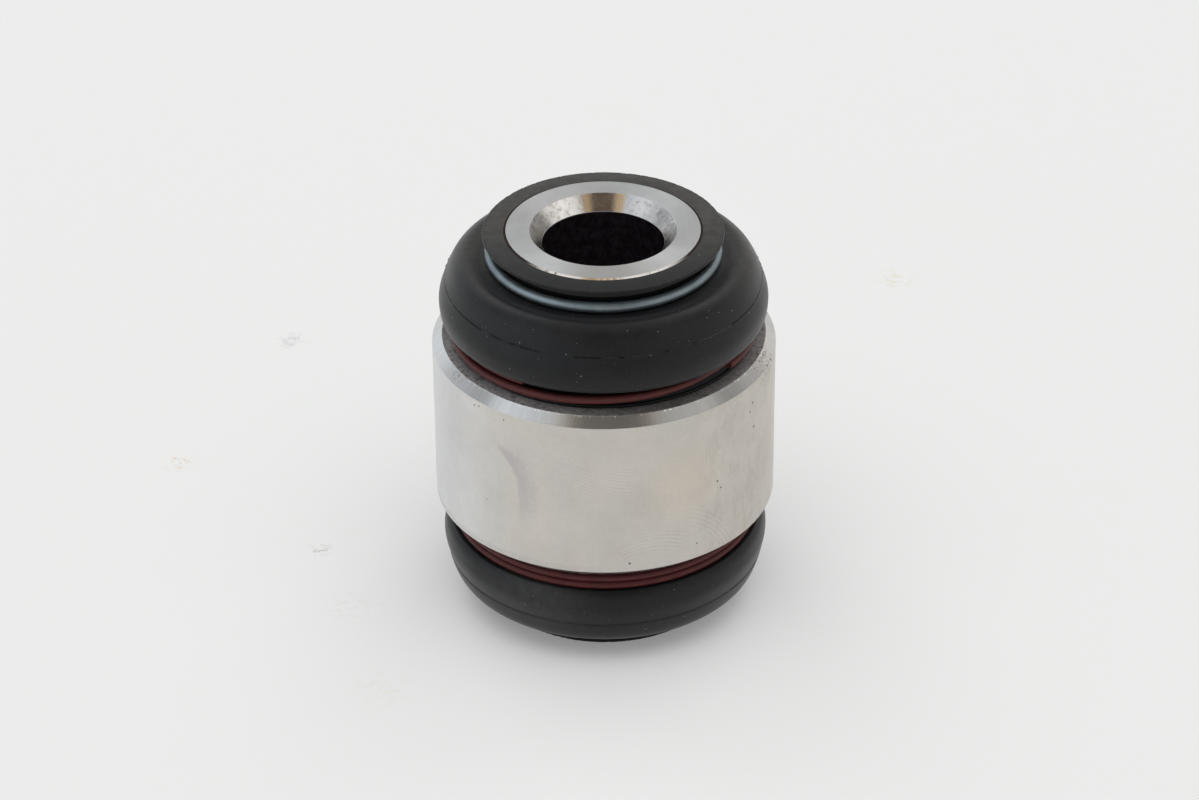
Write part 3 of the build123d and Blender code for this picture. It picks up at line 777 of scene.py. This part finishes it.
def dust_tree():
    """Grains at given points and grains and lint scattered over a boot."""
    t, given = named_tree(
        "Clinging dust", Boot="Object", Density="Float", Grain_radius="Float", Seed="Int", Dust="Material"
    )
    boot = t.node("GeometryNodeObjectInfo", Object=given["Boot"], transform_space="RELATIVE").outputs["Geometry"]
    away = t.vector("MULTIPLY", t.geometry("InputPosition"), (1, 1, 0.3))
    outward = t.along(t.geometry("InputNormal"), t.vector("NORMALIZE", away))
    scatter = t.node(
        "GeometryNodeDistributePointsOnFaces", Mesh=boot, Selection=t.math("GREATER_THAN", outward, 0.3),
        Density=given["Density"], Seed=given["Seed"],
    )
    placed = t.geometry("MeshToPoints", Mesh=given["Geometry"])
    nearest = t.node("GeometryNodeProximity", Geometry=boot, target_element="FACES").outputs["Position"]
    snapped = t.geometry("SetPosition", Geometry=placed, Position=nearest)
    grain = t.geometry("MeshIcoSphere", Radius=1, Subdivisions=1)

    def chance(low, high, salt):
        values = {2: low, 3: high, "Seed": t.plus(given["Seed"], float(salt))}
        return t.node("FunctionNodeRandomValue", values, data_type="FLOAT").outputs[1]

    def grains(points, low, high, salt):
        size = t.times(given["Grain radius"], chance(low, high, salt))
        turned = t.xyz(chance(0, 6.28, salt + 1), chance(0, 6.28, salt + 2), 0)
        shape = t.xyz(size, t.times(size, chance(0.4, 1, salt + 3)), t.times(size, 0.5))
        return t.geometry("InstanceOnPoints", Points=points, Instance=grain, Rotation=turned, Scale=shape)

    # a piece of lint: a short bent thread, sized in grain radii
    bend = t.geometry("CurveArc", Resolution=7, Radius=6, Sweep_Angle=1.3, mode="RADIUS")
    fibre = t.geometry("CurvePrimitiveCircle", Resolution=5, Radius=0.18)
    thread = t.geometry("CurveToMesh", Curve=bend, Profile_Curve=fibre, Fill_Caps=True)
    centred = t.geometry("Transform", Geometry=thread, Translation=(-5.6, -1.5, 0))
    small = t.times(given["Grain radius"], chance(0.5, 1.2, 22))
    lint = t.geometry(
        "InstanceOnPoints", Points=scatter.outputs[0], Selection=t.math("LESS_THAN", chance(0, 1, 21), 0.05),
        Instance=centred, Rotation=scatter.outputs["Rotation"], Scale=t.scaled(t.xyz(1, 1, 1), small),
    )
    joined = t.node("GeometryNodeJoinGeometry")
    for part in (grains(scatter.outputs[0], 0.15, 0.8, 1), grains(snapped, 0.9, 1.6, 11), lint):
        t.tree.links.new(part, joined.inputs[0])
    close_tree(t, joined.outputs[0], given["Dust"])
    return t


def make_dust(s, boots, material):
    tree = dust_tree()
    made = []
    for boot, name, places, seed in (
        (boots[0], "upper_boot_dust", UPPER_GRAINS, 5),
        (boots[1], "lower_boot_dust", LOWER_GRAINS, 8),
    ):
        mesh = bpy.data.meshes.new(name + "_places")
        mesh.from_pydata([tuple(c * MM for c in on_skin(*place)) for place in places], [], [])
        made.append(bake(
            name, mesh, tree, Boot=boot, Density=s.grain_density, Grain_radius=s.grain_size, Seed=seed, Dust=material
        ))
    return made


# ---- the wire rings
# Where the upper housing ring's wire lies: degrees along it from its first cut end, and height (mm).
# It sags a little at the left, climbs across the front and passes over its own first end.
UPPER_RING_HEIGHTS = (
    (0, 12.16), (96, 12.05), (186, 11.84), (251, 11.76), (268, 11.81),
    (306, 12.15), (340, 12.66), (358, 13.13), (376, 13.18), (635, 13.18),
)
NECK_RING_Z = 21.53


def wire_tree(heights):
    """A round wire bent into turns about the Z axis; heights gives its level along the turns."""
    t, given = named_tree(
        "Sprung wire", Steps="Int", First_end="Float", Sweep="Float", Ring_radius="Float", Wire_radius="Float",
        Cut_edge="Float", Cut_taper="Float", Coating="Material",
    )
    levels = [height for _, height in heights]
    low, rise = min(levels), max(max(levels) - min(levels), 1e-6)
    straight = t.geometry("CurvePrimitiveLine")
    line = t.geometry("ResampleCurve", Curve=straight, Count=given["Steps"])
    share = t.node("GeometryNodeSplineParameter").outputs["Factor"]
    climb = t.node("ShaderNodeFloatCurve", {1: share})
    points = climb.mapping.curves[0].points
    whole = heights[-1][0]
    for i, (angle, height) in enumerate(heights):
        place = (angle / whole, (height - low) / rise)
        if i in (0, len(heights) - 1):
            points[-1 if i else 0].location = place
        else:
            points.new(*place)
    climb.mapping.update()
    level = t.graded(climb.outputs[0], rise * MM, low * MM)
    angle = t.graded(share, given["Sweep"], given["First end"])
    ring_r = given["Ring radius"]
    place = t.xyz(t.times(ring_r, t.math("COSINE", angle)), t.times(ring_r, t.math("SINE", angle)), level)
    bent = t.geometry("SetPosition", Geometry=line, Position=place)
    # the very ends are cut a little smaller than the wire
    reach = t.times(given["Sweep"], ring_r, t.math("MINIMUM", share, t.minus(1, share)))
    cut = t.times(given["Cut taper"], t.math("LESS_THAN", reach, given["Cut edge"]))
    eased = t.geometry("SetCurveRadius", (bent,), Radius=t.minus(1, cut))
    round_wire = t.geometry("CurvePrimitiveCircle", Resolution=20, Radius=given["Wire radius"])
    size = t.geometry("InputRadius")
    drawn = t.geometry("CurveToMesh", Curve=eased, Profile_Curve=round_wire, Scale=size, Fill_Caps=True)
    close_tree(t, drawn, given["Coating"])
    return t


def bend_wire(name, coating, heights, steps, first_end, sweep, ring_r, wire_r, taper):
    """A ring of wire in millimetres and degrees, from its first cut end."""
    wire = bake(
        name, bpy.data.meshes.new(name + "_seed"), wire_tree(heights), Steps=steps,
        First_end=math.radians(first_end), Sweep=math.radians(sweep), Ring_radius=ring_r * MM,
        Wire_radius=wire_r * MM, Cut_edge=0.01 * MM, Cut_taper=taper, Coating=coating,
    )
    facing_out(wire.data)
    return wire


# ---- the stage
# Faint marks on the table: place (mm), size (mm), colour and strength.
TABLE_MARKS = (
    ((-53.7, 26.3), 1.6, (0.62, 0.42, 0.26), 0.5), ((39.9, 70.7), 2.2, (0.66, 0.55, 0.34), 0.35),
    ((-26.2, -22.7), 2.6, (0.70, 0.62, 0.50), 0.25), ((-34.9, 6.6), 1.1, (0.30, 0.29, 0.28), 0.5),
    ((-41.3, 55.6), 1.6, (0.42, 0.42, 0.42), 0.4), ((-30, -6), 3, (0.66, 0.65, 0.62), 0.25),
)
# Half of the table's side (m).
TABLE_HALF = 3
# The softboxes: place (m) and share of the power; each is a square with this side (m).
SOFTBOXES = (("left_softbox", (-0.38, 0.48, 0.80), 0.52), ("right_softbox", (0.38, 0.48, 0.80), 0.48))
SOFTBOX_SIZE = 0.42
# The camera: focal length (mm), place (m) and turn (degrees).
CAMERA_LENS = 120.1001
CAMERA_PLACE = (0, -0.39823843, 0.25131826)
CAMERA_TURN = (57.8559, 0.38780, -0.16215)


def mirrored_rays(tree):
    """1 for what the camera sees and for what glossy and clear surfaces show, 0 for the light itself."""
    rays = tree.node("ShaderNodeLightPath").outputs
    return tree.any_of(rays["Is Camera Ray"], rays["Is Glossy Ray"], rays["Is Transmission Ray"])


def table_finish(s, level):
    """A pale table with a few ochre specks, grey smears and hairs at the given level (mm)."""
    f = Finish("pale_table", Specular_IOR_Level=0.25)
    stains_and_reflections = f.step(f.cloudy(0.03, 4, 0.6), 0.62, 0.75)
    colour = f.mix(f.times(stains_and_reflections, 0.25), s.floor, (0.80, 0.79, 0.75))
    torn = f.cloudy(1.1, 4, 0.7, 0.5)
    for (x, y), size, tint, share in TABLE_MARKS:
        speck = f.times(f.spot((x, y, level), size, 0.8), f.step(torn, 0.50, 0.60))
        colour = f.mix(f.times(speck, share), colour, tint)
    f.finish(colour, f.graded(stains_and_reflections, 0.1, 0.55), f.bump(f.cloudy(0.5, 3), 0.01))
    # the table's own shadow is lightened where the camera or a mirror-like surface sees it
    lift = f.node("ShaderNodeEmission", Color=colour, Strength=1).outputs[0]
    share = f.times(mirrored_rays(f), s.floor_lift)
    lifted = f.node("ShaderNodeMixShader", (share, f.shader.outputs[0], lift)).outputs[0]
    f.tree.links.new(lifted, f.output.inputs[0])
    return f.material


def lay_table(s):
    level = CAD_BOX[0][2]
    top = bpy.data.meshes.new("table_top")
    rim = [(x * TABLE_HALF, y * TABLE_HALF, level) for x, y in ((-1, -1), (1, -1), (1, 1), (-1, 1))]
    top.from_pydata(rim, [], [(0, 1, 2, 3)])
    top.materials.append(table_finish(s, level / MM))
    table = stand("table_top", top)


def pitch_tent(scene, s):
    """Surrounds the table with a tent of light, coloured by direction: X to the right, Y to the back, Z up."""
    world = bpy.data.worlds.new("tent")
    scene.world = world
    world.use_nodes = True
    w = Tree(world.node_tree)
    w.tree.nodes.clear()
    x, y, z = w.node("ShaderNodeSeparateXYZ", (w.node("ShaderNodeTexCoord").outputs["Generated"],)).outputs
    across = w.math("ABSOLUTE", x)
    # side walls, a roof at the back that is darker over the middle, and a front that is lighter at the left
    sides = w.times(w.step(across, 0.40, 0.75), w.fall(z, 0.60, 0.95), w.fall(y, 0.05, 0.40))
    wall = w.step(x, -0.1, 0.1, s.left - s.horizon, s.right - s.horizon)
    roof = w.times(w.step(z, 0.50, 0.75), w.step(y, 0.05, 0.25), w.step(across, 0.08, 0.20, -0.22, 0.16))
    lean = w.times(w.step(x, -0.5, 0.5, 0.12, -0.10), w.fall(y, 0, 0.25))
    shown = w.plus(w.graded(sides, wall, s.horizon), w.plus(roof, lean))
    # bright low down at both sides of the back, and dark in the upper corners beside it
    low = w.times(w.fall(z, 0.26, 0.52), w.step(y, 0.35, 0.65), w.step(across, 0.30, 0.50))
    shown = w.graded(low, 0.40, shown)
    corner = w.times(w.between(y, 0.03, 0.37, 0.10), w.between(z, 0.53, 0.81, 0.10), w.step(across, 0.45, 0.60))
    shown = w.graded(corner, w.minus(0.32, shown), shown)
    # the opening in front shows the brown room, with a warm rim
    front = w.times(w.fall(y, -0.22, -0.10), w.step(z, 0.36, 0.50))
    beside = w.math("ABSOLUTE", w.minus(x, 0.03))
    hole = w.times(front, w.fall(beside, 0.25, 0.35))
    rim = w.times(front, w.fall(beside, 0.34, 0.42))
    tint = w.mix(w.step(x, -0.7, 0.7), (0.94, 0.985, 1.03), (1, 0.975, 0.93))
    tint = w.mix(rim, tint, (0.80, 0.70, 0.55))
    tint = w.mix(hole, tint, tuple(c / s.horizon for c in s.opening))
    # what the camera and shiny surfaces see is the tent; the table is lit mostly from its ceiling
    seen = mirrored_rays(w)
    lit = w.times(w.step(z, 0.50, 0.97, 0.10, s.ceiling), w.step(y, -0.6, 0.6, 1.50, 0.35))
    strength = w.plus(w.times(seen, shown), w.times(w.minus(1, seen), lit))
    light = w.node("ShaderNodeBackground", Color=w.mix(seen, (1, 1, 1), tint), Strength=strength)
    w.node("ShaderNodeOutputWorld", (light.outputs[0],))


def hang_softboxes(s):
    for name, place, share in SOFTBOXES:
        lamp = bpy.data.lights.new(name, "AREA")
        lamp.shape, lamp.size, lamp.energy = "SQUARE", SOFTBOX_SIZE, s.softbox * share
        box = stand(name, lamp)
        box.location = place
        box.rotation_euler = (-Vector(place)).to_track_quat("-Z", "Y").to_euler()


def aim_camera(scene):
    camera = bpy.data.cameras.new("camera")
    camera.sensor_width, camera.lens, camera.clip_start = 36, CAMERA_LENS, 0.01
    viewer = stand("camera", camera)
    viewer.location = CAMERA_PLACE
    viewer.rotation_euler = tuple(math.radians(a) for a in CAMERA_TURN)
    scene.camera = viewer


# ---- operators
class BUSH_OT_stage(bpy.types.Operator):
    """Sets the pale table, the soft tent of light and the camera"""

    bl_idname = "bush.stage"
    bl_label = "Stage"

    def execute(self, context):
        s = context.scene.bush_stage
        scene = context.scene
        scene.view_settings.view_transform = "Standard"
        lay_table(s)
        pitch_tent(scene, s)
        hang_softboxes(s)
        aim_camera(scene)
        return {"FINISHED"}


class BUSH_OT_sleeve(bpy.types.Operator):
    """Gives the bored ball sleeve its faced steel, countersinks and dark bore"""

    bl_idname = "bush.sleeve"
    bl_label = "Ball sleeve"

    def execute(self, context):
        wear("ball_sleeve", sleeve_finish(context.scene.bush_steel))
        return {"FINISHED"}


class BUSH_OT_housing(bpy.types.Operator):
    """Gives the outer housing its ground diameter, bright chamfers and dark end faces"""

    bl_idname = "bush.housing"
    bl_label = "Outer housing"

    def execute(self, context):
        wear("outer_housing", housing_finish(context.scene.bush_steel))
        return {"FINISHED"}


class BUSH_OT_inside(bpy.types.Operator):
    """Finishes the ball seat and the closing ring, which are sealed inside"""

    bl_idname = "bush.inside"
    bl_label = "Seat and closing ring"

    def execute(self, context):
        s = context.scene.bush_inside
        wear("ball_seat", seat_finish(s))
        wear("closing_ring", closing_ring_finish(s))
        return {"FINISHED"}


class BUSH_OT_boots(bpy.types.Operator):
    """Moulds both rubber boots and the dust on them, and hides the CAD boots"""

    bl_idname = "bush.boots"
    bl_label = "Rubber boots"

    def execute(self, context):
        s = context.scene.bush_rubber
        boots = make_boots(s, rubber_finish(s))
        dust = make_dust(s, boots, dust_finish(s))
        for piece, side in ((boots[0], 1), (boots[1], -1), (dust[0], 1), (dust[1], -1)):
            clamp_boot(piece)
        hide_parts("upper_boot")
        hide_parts("lower_boot")
        return {"FINISHED"}


class BUSH_OT_housing_rings(bpy.types.Operator):
    """Coats the two-turn spring rings that clamp the boots on the housing"""

    bl_idname = "bush.housing_rings"
    bl_label = "Housing rings"

    def execute(self, context):
        coat = coated_wire("red_brown_wire", context.scene.bush_wire.housing_wire, (0.12, 0.08, 0.06))
        wear("upper_housing_ring", coat)
        wear("lower_housing_ring", coat)
        ring = bend_wire(
            "upper_housing_ring_wire", coat, UPPER_RING_HEIGHTS, steps=900, first_end=-36,
            sweep=UPPER_RING_HEIGHTS[-1][0], ring_r=17.52, wire_r=0.5, taper=0.12,
        )
        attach(ring, "housing")
        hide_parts("upper_housing_ring")
        return {"FINISHED"}


class BUSH_OT_neck_rings(bpy.types.Operator):
    """Coats the sprung rings that clamp the boots' necks on the sleeve"""

    bl_idname = "bush.neck_rings"
    bl_label = "Neck rings"

    def execute(self, context):
        coat = coated_wire("blue_grey_wire", context.scene.bush_wire.neck_wire, (0.05, 0.05, 0.055), metallic=0.75)
        wear("upper_neck_ring", coat)
        wear("lower_neck_ring", coat)
        ring = bend_wire(
            "upper_neck_ring_wire", coat, ((0, NECK_RING_Z), (360, NECK_RING_Z)), steps=500, first_end=-103.4,
            sweep=359.97, ring_r=13.07, wire_r=0.62, taper=0.03,
        )
        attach(ring, "neck_clamps")
        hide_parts("upper_neck_ring")
        return {"FINISHED"}


class BUSH_PT_panel(bpy.types.Panel):
    """Lists the bush's settings and the operators that make it"""

    bl_label = "Ball-joint bush"
    bl_idname = "BUSH_PT_panel"
    bl_space_type = "VIEW_3D"
    bl_region_type = "UI"
    bl_category = "Bush"

    def draw(self, context):
        layout = self.layout
        for label, name, _, operators in PARTS:
            box = layout.box()
            box.label(text=label)
            settings = getattr(context.scene, name)
            for setting in settings.bl_rna.properties.keys():
                if setting not in ("rna_type", "name"):
                    box.prop(settings, setting)
            for operator in operators:
                box.operator(operator.bl_idname)


# The parts of the panel: label, name of the settings, their group and the operators.
PARTS = (
    ("Stage", "bush_stage", BushStageSettings, (BUSH_OT_stage,)),
    ("Steel", "bush_steel", BushSteelSettings, (BUSH_OT_sleeve, BUSH_OT_housing)),
    ("Inside", "bush_inside", BushInsideSettings, (BUSH_OT_inside,)),
    ("Rubber", "bush_rubber", BushRubberSettings, (BUSH_OT_boots,)),
    ("Wire", "bush_wire", BushWireSettings, (BUSH_OT_housing_rings, BUSH_OT_neck_rings)),
)
CLASSES = [group for _, _, group, _ in PARTS] + [kind for *_, kinds in PARTS for kind in kinds] + [BUSH_PT_panel]


def register():
    for kind in CLASSES:
        bpy.utils.register_class(kind)
    for _, name, group, _ in PARTS:
        setattr(bpy.types.Scene, name, bpy.props.PointerProperty(type=group))


def unregister():
    for _, name, _, _ in PARTS:
        delattr(bpy.types.Scene, name)
    for kind in reversed(CLASSES):
        bpy.utils.unregister_class(kind)


def main():
    register()
    bpy.ops.bush.stage()
    bpy.ops.bush.sleeve()
    bpy.ops.bush.housing()
    bpy.ops.bush.inside()
    bpy.ops.bush.boots()
    bpy.ops.bush.housing_rings()
    bpy.ops.bush.neck_rings()


if __name__ == "__main__":
    main()
